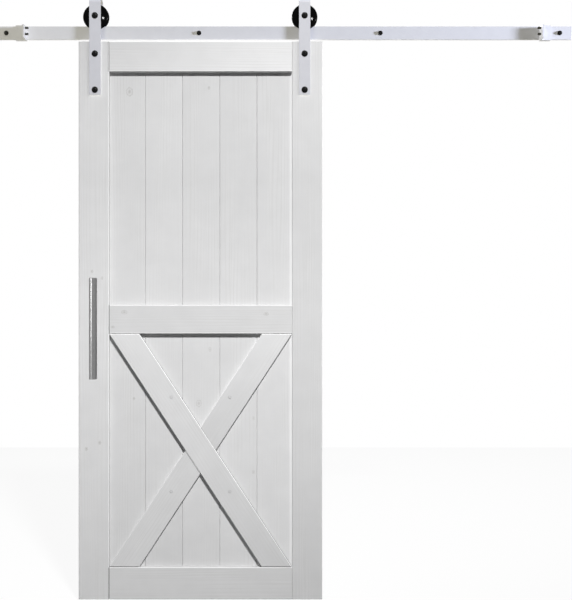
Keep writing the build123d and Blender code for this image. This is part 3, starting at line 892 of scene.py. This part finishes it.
def soften(piece, width):
    """Round the sharp edges by a width in millimetres."""
    bevel = piece.modifiers.new("soft_edges", "BEVEL")
    bevel.width = width * MM
    bevel.segments = BEVEL_STEPS
    bevel.limit_method = "ANGLE"
    bevel.angle_limit = SMOOTH_ANGLE
    bevel.harden_normals = True


for node, piece in nodes.items():
    smooth(piece)
for node, width in edge_widths.items():
    soften(nodes[node], width)
print("solids with softened edges:", len(edge_widths))

# %% [markdown]
# A lathe in code
#
# Bolts, nuts, wheels and buffers are all rings on one axis. A ring that is a circle, a
# hexagon, or the smaller of the two gives every outline they need: where a hexagon's
# corners are turned off, the outline is the smaller of both. Each kind of ring is a function
# that gives its radius at an angle.

# %% Rings
def round_ring(radius):
    """A circle's radius at any angle."""
    return lambda angle: radius


def hex_ring(flats, limit=None):
    """A hexagon's radius at an angle, cut off at a largest radius."""
    side = math.radians(60)

    def radius_at(angle):
        radius = flats / 2 / math.cos(angle % side - side / 2)
        return radius if limit is None else min(radius, limit)

    return radius_at


print("a 17 mm hexagon reaches", round(hex_ring(17.0)(0.0), 2), "mm at its corners")

# %% [markdown]
# From rings to a piece
#
# Joining one ring to the next with quads makes the skin, and one face closes each end. A
# piece then gets its finish, the body that it moves with, and the solids that it stands for.

# %% The lathe
ROUND_STEPS = 48


def lathe(name, rings, centre, axis="Y", steps=ROUND_STEPS):
    """Skin over (radius function, distance along the axis) rings, in millimetres."""
    mesh = bpy.data.meshes.new(name)
    shape = bmesh.new()
    loops = []
    for radius_at, along in rings:
        loop = []
        for step in range(steps):
            angle = 2 * math.pi * step / steps
            radius = radius_at(angle)
            flat = (radius * math.cos(angle), radius * math.sin(angle))
            spot = (flat[0], along, flat[1]) if axis == "Y" else (along, flat[0], flat[1])
            loop.append(shape.verts.new(Vector(centre) + Vector(spot) * MM))
        loops.append(loop)
    for first, second in zip(loops, loops[1:]):
        for step in range(steps):
            after = (step + 1) % steps
            shape.faces.new((first[step], first[after], second[after], second[step]))
    shape.faces.new(loops[0])
    shape.faces.new(reversed(loops[-1]))
    bmesh.ops.recalc_face_normals(shape, faces=shape.faces)
    shape.to_mesh(mesh)
    shape.free()
    piece = bpy.data.objects.new(name, mesh)
    bpy.context.scene.collection.objects.link(piece)
    smooth(piece)
    return piece


def join(name, pieces):
    """Make one object of several."""
    bpy.ops.object.select_all(action="DESELECT")
    for piece in pieces:
        piece.select_set(True)
    bpy.context.view_layer.objects.active = pieces[0]
    if len(pieces) > 1:
        bpy.ops.object.join()
    whole = bpy.context.view_layer.objects.active
    whole.name = name
    whole.data.name = name
    return whole


def settle(piece, material, slot, body, *replaced):
    """Give a new piece its finish, its body and the solids it stands for. The slot is not used."""
    piece.data.materials.clear()
    piece.data.materials.append(material)
    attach(piece, body)
    if replaced:
        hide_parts(*replaced)
    print(piece.name, "faces:", len(piece.data.polygons))


# %% [markdown]
# Where the round parts sit
#
# The solids of one node can lie apart, such as four bolts. The places of the straps give
# the bolts' X, and each node's box gives the outermost Z and Y. Of the four lag screws the
# outer two follow from their washers' box, and the inner two are measured in the photograph.

# %% Places of bolts, lags and wheels
strap_xs = [middle("left_hanger_strap").x, middle("right_hanger_strap").x]
axle_z = middle("axle_nuts").z
BOLT_HEAD_RADIUS = 12.0
head_radius = BOLT_HEAD_RADIUS * MM
bolt_zs = [low("hanger_bolts").z + head_radius, high("hanger_bolts").z - head_radius]
strap_face = low("left_hanger_strap").y
bar_face = low("track_bar").y
LAG_WASHER_RADIUS = 8.8
INNER_LAG_XS = (-0.3227, 0.374)
lag_end_x = high("lag_washers").x - LAG_WASHER_RADIUS * MM
lag_xs = [-lag_end_x, *INNER_LAG_XS, lag_end_x]
print("bolt heights:", [round(z, 4) for z in bolt_zs], "lags:", [round(x, 4) for x in lag_xs])

# %% [markdown]
# The wheels
#
# Each wheel is turned from one blank and enamelled in gloss black: two flanges with rounded
# rims, a flat-bottomed groove that runs on the bar, a raised boss with a sloping shoulder,
# and a bore for the bearing. The section is written from its named sizes. The small numbers
# beside them round the corners and slope the rim, so that the gloss can draw fine highlights
# there. The back half is the front half mirrored.

# %% Turn the wheels
BORE = 15.05
BOSS = 26.0
SHOULDER = 33.0
BOSS_FACE = 11.0
WEB_FACE = 8.5
FLANGE = 49.5
TREAD = 35.3
GROOVE_HALF = 3.675
WHEEL_STEPS = 128


def wheel_half():
    """The front half of the wheel's section, from the bore out and into the groove."""
    outline = [(BORE, BOSS_FACE - 0.6), (BORE + 0.6, BOSS_FACE)]
    outline += [(BOSS - 0.8, BOSS_FACE), (BOSS + 0.2, BOSS_FACE - 0.2)]
    outline += [(SHOULDER - 0.6, WEB_FACE + 0.2), (SHOULDER + 0.6, WEB_FACE)]
    outline += [(FLANGE - 4.6, WEB_FACE), (FLANGE - 3.6, WEB_FACE - 0.4)]
    outline += [(FLANGE - 1.0, WEB_FACE - 1.8), (FLANGE - 0.25, WEB_FACE - 2.6)]
    outline += [(FLANGE, WEB_FACE - 3.5), (FLANGE - 0.1, GROOVE_HALF + 0.5)]
    outline += [(FLANGE - 0.6, GROOVE_HALF + 0.05), (TREAD + 1.0, GROOVE_HALF)]
    outline += [(TREAD, GROOVE_HALF - 0.8)]
    return outline


def wheel_rings():
    """The rings of both halves of the section."""
    half = wheel_half()
    outline = half + [(radius, -along) for radius, along in reversed(half)]
    return [(round_ring(radius), along) for radius, along in outline]


def ring_shape(name, rings, centre, steps):
    """A turned ring with a bore: the lathe's skin, closed from the last ring to the first."""
    piece = lathe(name, rings, centre, steps=steps)
    shape = bmesh.new()
    shape.from_mesh(piece.data)
    caps = [face for face in shape.faces if len(face.verts) > 4]
    bmesh.ops.delete(shape, geom=caps, context="FACES_ONLY")
    shape.verts.ensure_lookup_table()
    last = len(shape.verts) - steps
    for step in range(steps):
        after = (step + 1) % steps
        corners = [last + step, last + after, after, step]
        shape.faces.new([shape.verts[i] for i in corners])
    bmesh.ops.recalc_face_normals(shape, faces=shape.faces)
    shape.to_mesh(piece.data)
    shape.free()
    smooth(piece)
    return piece


wheel_y = middle("left_wheel").y
for side, x in zip(("left", "right"), strap_xs):
    centre = (x, wheel_y, axle_z)
    wheel = ring_shape(f"{side}_wheel_turned", wheel_rings(), centre, WHEEL_STEPS)
    settle(wheel, gloss_black, "black_wheel", f"{side}_wheel", f"{side}_wheel")

# %% [markdown]
# Dome-headed bolts
#
# The black bolts have a low dome with a hexagon socket. The dome is a run of rings on a
# circle. At the socket the rings become hexagons, and the first one is the socket's floor.
# The end that shows behind the nut has a fine thread, drawn as rings of two radii.

# %% Make the bolts
DOME = 5.6
HEAD_RIM = 1.2
SOCKET_FLATS = 6.0
SOCKET_DEEP = 3.5
BOLT_RADIUS = 5.0
THREAD_PITCH = 1.5
THREAD_DEEP = 0.55
THREAD_LENGTH = 12.0
THREAD_END = 0.6
DOME_STEPS = 9


def dome_rings(count=DOME_STEPS):
    """The dome from its rim to the socket's mouth, as distances in front of the seat."""
    ball = (BOLT_HEAD_RADIUS**2 + DOME**2) / (2 * DOME)
    mouth = SOCKET_FLATS / 2 + 0.5
    rings = []
    for part in range(count + 1):
        radius = BOLT_HEAD_RADIUS + (mouth - BOLT_HEAD_RADIUS) * part / count
        rise = math.sqrt(ball**2 - radius**2) - (ball - DOME)
        rings.append((round_ring(radius), -HEAD_RIM - rise))
    return rings


def thread_rings(start, end, radius, deep, pitch):
    """A fine thread as ridges along an axis."""
    turns = int((end - start) / pitch)
    rings = []
    for turn in range(turns):
        at = start + turn * pitch
        rings += [(round_ring(radius - deep), at), (round_ring(radius), at + pitch / 2)]
    rings.append((round_ring(radius - deep), end))
    return rings


def dome_bolt(name, x, seat, z, end):
    """A bolt from its socket's floor to its thread's end."""
    crown = -HEAD_RIM - DOME
    rings = [(hex_ring(SOCKET_FLATS - 0.3), crown + SOCKET_DEEP)]
    rings += [(hex_ring(SOCKET_FLATS), crown + 0.7), (hex_ring(SOCKET_FLATS + 0.4), crown + 0.25)]
    rings += reversed(dome_rings())
    rings += [(round_ring(BOLT_HEAD_RADIUS), -0.25), (round_ring(BOLT_HEAD_RADIUS - 0.25), 0.0)]
    rings += [(round_ring(BOLT_RADIUS), 0.0)]
    length = (end - seat) / MM
    thread = (length - THREAD_LENGTH, length - THREAD_END)
    rings += thread_rings(*thread, BOLT_RADIUS, THREAD_DEEP, THREAD_PITCH)
    rings += [(round_ring(BOLT_RADIUS - 1.2), length)]
    return lathe(name, rings, (x, seat, z))


hanger_end = high("hanger_bolts").y
axle_end = high("axle_bolts").y
pieces = [dome_bolt("bolt", x, strap_face, z, hanger_end) for x in strap_xs for z in bolt_zs]
settle(join("hanger_bolts_domed", pieces), black_oxide, "black_steel", "door", "hanger_bolts")
pieces = [dome_bolt("bolt", x, strap_face, axle_z, axle_end) for x in strap_xs]
settle(join("axle_bolts_domed", pieces), black_oxide, "black_steel", "door", "axle_bolts")

# %% [markdown]
# Nuts
#
# A nut is a hexagon whose corners are turned off at both ends, with a threaded hole. Each
# ring takes the smaller of the hexagon and a circle, which cuts the corners just as a
# lathe would.

# %% Make the nuts
NUT_FLATS = 17.0
NUT_CHAMFER = 1.0
NUT_BORE = BOLT_RADIUS + 0.1


def nut_piece(name, x, seat, z, height):
    """A chamfered nut against its washer."""
    face = hex_ring(NUT_FLATS, NUT_FLATS / 2 + 0.2)
    slope = hex_ring(NUT_FLATS, NUT_FLATS / 2 + 0.9)
    flats = hex_ring(NUT_FLATS)
    rings = [(round_ring(NUT_BORE), 0.0), (face, 0.0), (slope, 0.4), (flats, NUT_CHAMFER)]
    rings += [(flats, height - NUT_CHAMFER), (slope, height - 0.4), (face, height)]
    rings += [(round_ring(NUT_BORE + 0.6), height), (round_ring(NUT_BORE), height - 0.6)]
    return ring_shape(name, rings, (x, seat, z), ROUND_STEPS)


for node, heights in (("hanger_nuts", bolt_zs), ("axle_nuts", [axle_z])):
    seat = low(node).y
    tall = (high(node).y - seat) / MM
    pieces = [nut_piece("nut", x, seat, z, tall) for x in strap_xs for z in heights]
    settle(join(node + "_chamfered", pieces), black_oxide, "black_steel", "door", node)

# %% [markdown]
# Lag screws
#
# Four hexagon lag screws hold the bar to the wall. Behind the wall plane each has a coarse
# thread, a real helix here: at each ring the radius follows the turn, so the ridge climbs
# by one pitch per turn, and fades into a point.

# %% Make the lag screws
LAG_FLATS = 13.0
LAG_HEAD = 5.5
LAG_WASHER = 1.6
LAG_RADIUS = 4.0
LAG_ROOT = 3.0
LAG_PITCH = 3.2
LAG_RINGS_PER_TURN = 8
LAG_STEPS = 32
LAG_POINT = 9.0
LAG_TIP = 0.15


def helix_ring(along, length):
    """The radius of a threaded ring at an angle, thinner towards the point."""
    taper = min(1.0, (length - along) / LAG_POINT)

    def radius_at(angle):
        phase = (along / LAG_PITCH - angle / (2 * math.pi)) % 1.0
        ridge = max(0.0, 1 - abs(phase - 0.5) * 4)
        return max(LAG_TIP, taper * (LAG_ROOT + (LAG_RADIUS - LAG_ROOT) * ridge))

    return radius_at


def lag_screw(name, x, seat, end):
    """A lag screw from the face of its head to its point."""
    face = -LAG_HEAD
    flat = LAG_FLATS / 2
    rings = [(round_ring(flat - 0.6), face), (hex_ring(LAG_FLATS, flat + 0.3), face + 0.2)]
    rings += [(hex_ring(LAG_FLATS), face + 1.1), (hex_ring(LAG_FLATS), -0.3)]
    rings += [(hex_ring(LAG_FLATS, flat + 0.6), 0.0), (round_ring(LAG_RADIUS), 0.0)]
    wall = -seat / MM
    length = (end - seat) / MM
    rings += [(round_ring(LAG_RADIUS), wall)]
    steps = int((length - wall) / LAG_PITCH * LAG_RINGS_PER_TURN)
    for step in range(1, steps + 1):
        along = wall + (length - wall) * step / steps
        rings.append((helix_ring(along, length), along))
    return lathe(name, rings, (x, seat, 0.0), steps=LAG_STEPS)


lag_seat = bar_face - LAG_WASHER * MM
lag_end = high("wall_lags").y
pieces = [lag_screw("lag", x, lag_seat, lag_end) for x in lag_xs]
settle(join("wall_lags_threaded", pieces), black_oxide, "black_steel", "track", "wall_lags")

# %% [markdown]
# Rubber buffers
#
# Each stop has two round buffers that meet the edge of the strap. They are turned about X,
# with a rounded nose and a slight waist where they seat on the plate.

# %% Make the buffers
BUFFER_RADIUS = 4.5
BUFFER_REACH = 12.5
BUFFER_STEM = 2.45
PLATE = 6.35
buffer_y = middle("stop_bumpers").y
buffer_zs = [low("stop_bumpers").z + BUFFER_RADIUS * MM, high("stop_bumpers").z - BUFFER_RADIUS * MM]
plate_x = high("stop_bumpers").x - PLATE * MM


def buffer_rings(side):
    """Rings from the nose to the end of the stem, towards one side."""
    nose = [(0.6, -BUFFER_REACH), (2.0, -BUFFER_REACH + 0.15), (3.2, -BUFFER_REACH + 0.7)]
    nose += [(4.1, -BUFFER_REACH + 1.7), (BUFFER_RADIUS, -BUFFER_REACH + 3.2)]
    seat = [(BUFFER_RADIUS, -3.0), (4.1, -2.0), (4.1, -1.4), (BUFFER_RADIUS, -0.8), (BUFFER_RADIUS, 0.0)]
    stem = [(BUFFER_STEM, 0.0), (BUFFER_STEM, PLATE)]
    return [(round_ring(radius), side * along) for radius, along in nose + seat + stem]


pieces = [
    lathe("buffer", buffer_rings(side), (side * plate_x, buffer_y, z), axis="X")
    for side in (-1, 1)
    for z in buffer_zs
]
settle(join("stop_buffers_moulded", pieces), rubber, "buffer_rubber", "track", "stop_bumpers")

# %% [markdown]
# Wooden plugs
#
# The screws of the braces are hidden under round plugs. A plug shows as a faint circle,
# because it stands in its hole with a hair of room round it. It is turned a little smaller
# than its hole, with a soft edge, and its grain runs level, across the grain of both braces.

# %% Make the plugs
PLUG_RADIUS = 5.35
PLUG_SOLID = 6.0
plug_low, plug_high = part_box("brace_plugs")
plug_xs = [plug_low.x + PLUG_SOLID * MM, plug_high.x - PLUG_SOLID * MM]
plug_zs = [plug_low.z + PLUG_SOLID * MM, plug_high.z - PLUG_SOLID * MM]
plug_depth = (plug_high.y - plug_low.y) / MM
plug_rings = [(0.5, 0.12), (2.5, 0.1), (4.4, 0.16), (5.2, 0.35)]
plug_rings += [(PLUG_RADIUS, 0.8), (PLUG_RADIUS, plug_depth)]
pieces = [
    lathe("plug", [(round_ring(r), y) for r, y in plug_rings], (x, plug_low.y, z))
    for x in plug_xs
    for z in plug_zs
]
PLUG_SHIFT = (0.21, 0.13, 0.4)
PLUG_TONES = (0.94, 0.90)
plug_pine = pine("pine_plugs", ACROSS, PLUG_SHIFT, PLUG_TONES, (plug_low.z, plug_high.z))
settle(join("brace_plugs_turned", pieces), plug_pine, "whitewashed_pine", "door", "brace_plugs")

# %% [markdown]
# Light linking
#
# A lamp can be told which pieces it lights and which pieces throw shadows in its light. Both
# lists are collections, and each entry in one says whether it is meant or left out. Here the
# main lamp leaves out the track, the straps and their bolts, the wheels and the stiles, which
# get lamps of their own. The photograph shows no shadow below the pull or the straps, nor one
# of the right stile on the last plank, so those pieces throw none in the main direction.

# %% Link lamps and pieces
def group_of(name, names, state):
    """A collection of pieces that a lamp includes or leaves out."""
    group = bpy.data.collections.new(name)
    for piece in names:
        group.objects.link(bpy.data.objects[piece])
    for entry in group.collection_objects:
        entry.light_linking.link_state = state
    return group


def light_only(lamp, names):
    """Let a lamp light only these pieces."""
    lamp.light_linking.receiver_collection = group_of(lamp.name + "_lights", names, "INCLUDE")


def leave_out(lamp, names):
    """Let a lamp light everything but these pieces."""
    lamp.light_linking.receiver_collection = group_of(lamp.name + "_skips", names, "EXCLUDE")


def no_shadow_of(lamp, names):
    """Let these pieces throw no shadow in a lamp's light."""
    lamp.light_linking.blocker_collection = group_of(lamp.name + "_passes", names, "EXCLUDE")


def shadow_only_of(lamp, names):
    """Let only these pieces throw a shadow in a lamp's light."""
    lamp.light_linking.blocker_collection = group_of(lamp.name + "_blocks", names, "INCLUDE")


STRAPS = ["left_hanger_strap", "right_hanger_strap"]
BOLTS = ["hanger_bolts_domed", "axle_bolts_domed"]
WHEELS = ["left_wheel_turned", "right_wheel_turned"]
PULL = ["pull_bar", "pull_posts"]
STILES = ["left_stile", "right_stile"]
BUFFERS = "stop_buffers_moulded"
BAR_PIECES = ["track_bar", "wall_spacers", "left_stop", "right_stop", "lag_washers"]
BAR_PIECES += ["wall_lags_threaded", BUFFERS]
NO_MAIN_SHADOW = PULL + STRAPS + ["right_stile"]
leave_out(key_lamp, BAR_PIECES + STRAPS + BOLTS + WHEELS + STILES)
no_shadow_of(key_lamp, NO_MAIN_SHADOW)

# %% [markdown]
# Lamps for the straps and the stiles
#
# The straps and bolts share a soft box in the main direction. The stiles take most of their
# light from a copy of the main lamp, and the rest from a wide soft box far to the right, at
# about the height of the track. Only the straps and bolts throw shadows in that one, so that
# each strap has a soft shadow on its left side, as it does in the photograph. Most lamps from
# here on are soft boxes for a few pieces, so one helper hangs them.

# %% Straps and stiles
PLAIN = (1.0, 1.0, 1.0)
HEAD_AWAY = 9.0
HEAD_WATTS = 900.0
HEAD_SIZE = 0.9
STRAP_SHARE = 0.92
STILE_SHARE = 0.76
SIDE_PLACE = (5.0, -3.3, 0.1)
SIDE_WATTS = 165.0
SIDE_SIZE = 4.5


def lamp_for(pieces, name, place, target, watts, size, colour=PLAIN):
    """A soft box for some pieces only, in a colour."""
    lamp = soft_lamp(name, place, target, watts, size)
    lamp.data.color = colour
    light_only(lamp, pieces)
    return lamp


head_place = door_middle + KEY_DIRECTION * HEAD_AWAY
strap_watts = HEAD_WATTS * STRAP_SHARE
lamp_for(STRAPS + BOLTS, "strap_lamp", head_place, door_middle, strap_watts, HEAD_SIZE)
stile_lamp = beam_lamp("stile_lamp", STILE_SHARE)
light_only(stile_lamp, STILES)
no_shadow_of(stile_lamp, NO_MAIN_SHADOW)
strap_middle = (middle("left_hanger_strap") + middle("right_hanger_strap")) / 2
side_lamp = lamp_for(STILES, "side_lamp", SIDE_PLACE, strap_middle, SIDE_WATTS, SIDE_SIZE)
shadow_only_of(side_lamp, STRAPS + BOLTS)
print("lamps so far:", len(bpy.data.lights))

# %% [markdown]
# Lamps for the bar
#
# The bar is warmer and darker at its left end and cooler and paler at its right end. Most of
# its light is a bluish raking lamp far to the right, in which the straps and the lag screws
# throw long soft shadows. The left stop is out of it. A weak lamp in the main direction is
# added, and two warm ones hang at one place on the left. In one of these only the straps
# throw a shadow, in the other nothing does, which leaves a faint short shadow to the right of
# each strap.

# %% The bar's lamps
BAR_SHARE = 0.07
RAKE_PLACE = (6.1, -2.04, 0.15)
RAKE_WATTS = 685.0
RAKE_COLOUR = (0.95, 1.0, 1.16)
RAKE_SIZE = 1.0
LEFT_PLACE = (-4.0, -4.5, 1.5)
LEFT_WATTS = 80.0
WARM = (1.05, 1.0, 0.78)
LEFT_SIZE = 0.8
bar_middle = (0.0, bar_face, 0.0)
bar_watts = HEAD_WATTS * BAR_SHARE
raked = [piece for piece in BAR_PIECES if piece != "left_stop"]
lamp_for(BAR_PIECES, "bar_lamp", head_place, door_middle, bar_watts, HEAD_SIZE)
lamp_for(raked, "raking_lamp", RAKE_PLACE, bar_middle, RAKE_WATTS, RAKE_SIZE, RAKE_COLOUR)
left_lamps = [
    lamp_for(BAR_PIECES, name, LEFT_PLACE, bar_middle, LEFT_WATTS, LEFT_SIZE, WARM)
    for name in ("left_lamp", "left_fill_lamp")
]
shadow_only_of(left_lamps[0], STRAPS)
left_lamps[1].data.use_shadow = False
print("lamps so far:", len(bpy.data.lights))

# %% [markdown]
# Lamps for the gloss
#
# A gloss is the reflection of something bright. A tall soft box on the left gives the satin
# pull its long highlight, which fades towards the foot because the box ends above it. A
# small soft box for each wheel, at the front and to the right, puts the sparks on its enamel.
# Its direction is the one in which that wheel mirrors it to the camera at the right spot.

# %% Gloss
STRIP_PLACE = (-2.61, -2.29, -0.78)
STRIP_WATTS = 34.0
STRIP_WIDTH = 0.4
STRIP_HEIGHT = 1.15
GLOSS_TOWARDS = {"left": Vector((0.252, -0.935, 0.248)), "right": Vector((0.465, -0.859, 0.215))}
GLOSS_AWAY = 3.0
GLOSS_WATTS = 120.0
GLOSS_SIZE = 0.34
pull_middle = middle("pull_bar")
strip_lamp = lamp_for(PULL, "strip_lamp", STRIP_PLACE, pull_middle, STRIP_WATTS, STRIP_WIDTH)
strip_lamp.rotation_euler.x = math.radians(90)
strip_lamp.data.shape = "ELLIPSE"
strip_lamp.data.size_y = STRIP_HEIGHT
for side, towards in GLOSS_TOWARDS.items():
    hub = middle(f"{side}_wheel")
    place = hub + towards * GLOSS_AWAY
    lamp_for([f"{side}_wheel_turned"], f"{side}_gloss_lamp", place, hub, GLOSS_WATTS, GLOSS_SIZE)
print("lamps so far:", len(bpy.data.lights))

# %% [markdown]
# Lamps for the inner faces, the undersides and the back
#
# The face of each stop that looks along the bar gets a small lamp of its own, whose light
# passes the buffers and the grub screws without a shadow. One lamp straight below keeps the
# undersides of the straps and the bar from going black. It makes no shadow, which would be a
# dark line on the bar. One from behind shows the back of the leaf, and leaves out the floor.

# %% Inner faces, undersides and back
INNER_AWAY = 1.0
INNER_FRONT = -0.36
INNER_WATTS = {"left": 33.0, "right": 24.0}
INNER_SIZE = 0.2
UNDER_PLACE = (0.0, -0.45, -3.3)
UNDER_WATTS = 80.0
UNDER_SIZE = 1.5
BACK_PLACE = (-2.5, 6.0, 3.0)
BACK_WATTS = 400.0
BACK_SIZE = 1.5
inner_faces = {"left": high("left_stop").x, "right": low("right_stop").x}
for side, face_x in inner_faces.items():
    stop, name = f"{side}_stop", f"{side}_inner_lamp"
    place = (-math.copysign(INNER_AWAY, face_x), INNER_FRONT, 0.0)
    inner_face = (face_x, low("right_stop").y, 0.0)
    inner_lamp = lamp_for([stop], name, place, inner_face, INNER_WATTS[side], INNER_SIZE)
    no_shadow_of(inner_lamp, [BUFFERS, "stop_set_screws"])
under = (UNDER_PLACE, bar_middle, UNDER_WATTS, UNDER_SIZE, WARM)
under_lamp = lamp_for(BAR_PIECES + STRAPS, "under_lamp", *under)
under_lamp.data.use_shadow = False
back_lamp = soft_lamp("back_lamp", BACK_PLACE, door_middle, BACK_WATTS, BACK_SIZE)
leave_out(back_lamp, ["studio_floor"])
print("lamps in all:", len(bpy.data.lights))

# %% [markdown]
#
# The standard view transform shows colours as they are written.

# %% Close the scene
bpy.context.scene.view_settings.view_transform = "Standard"
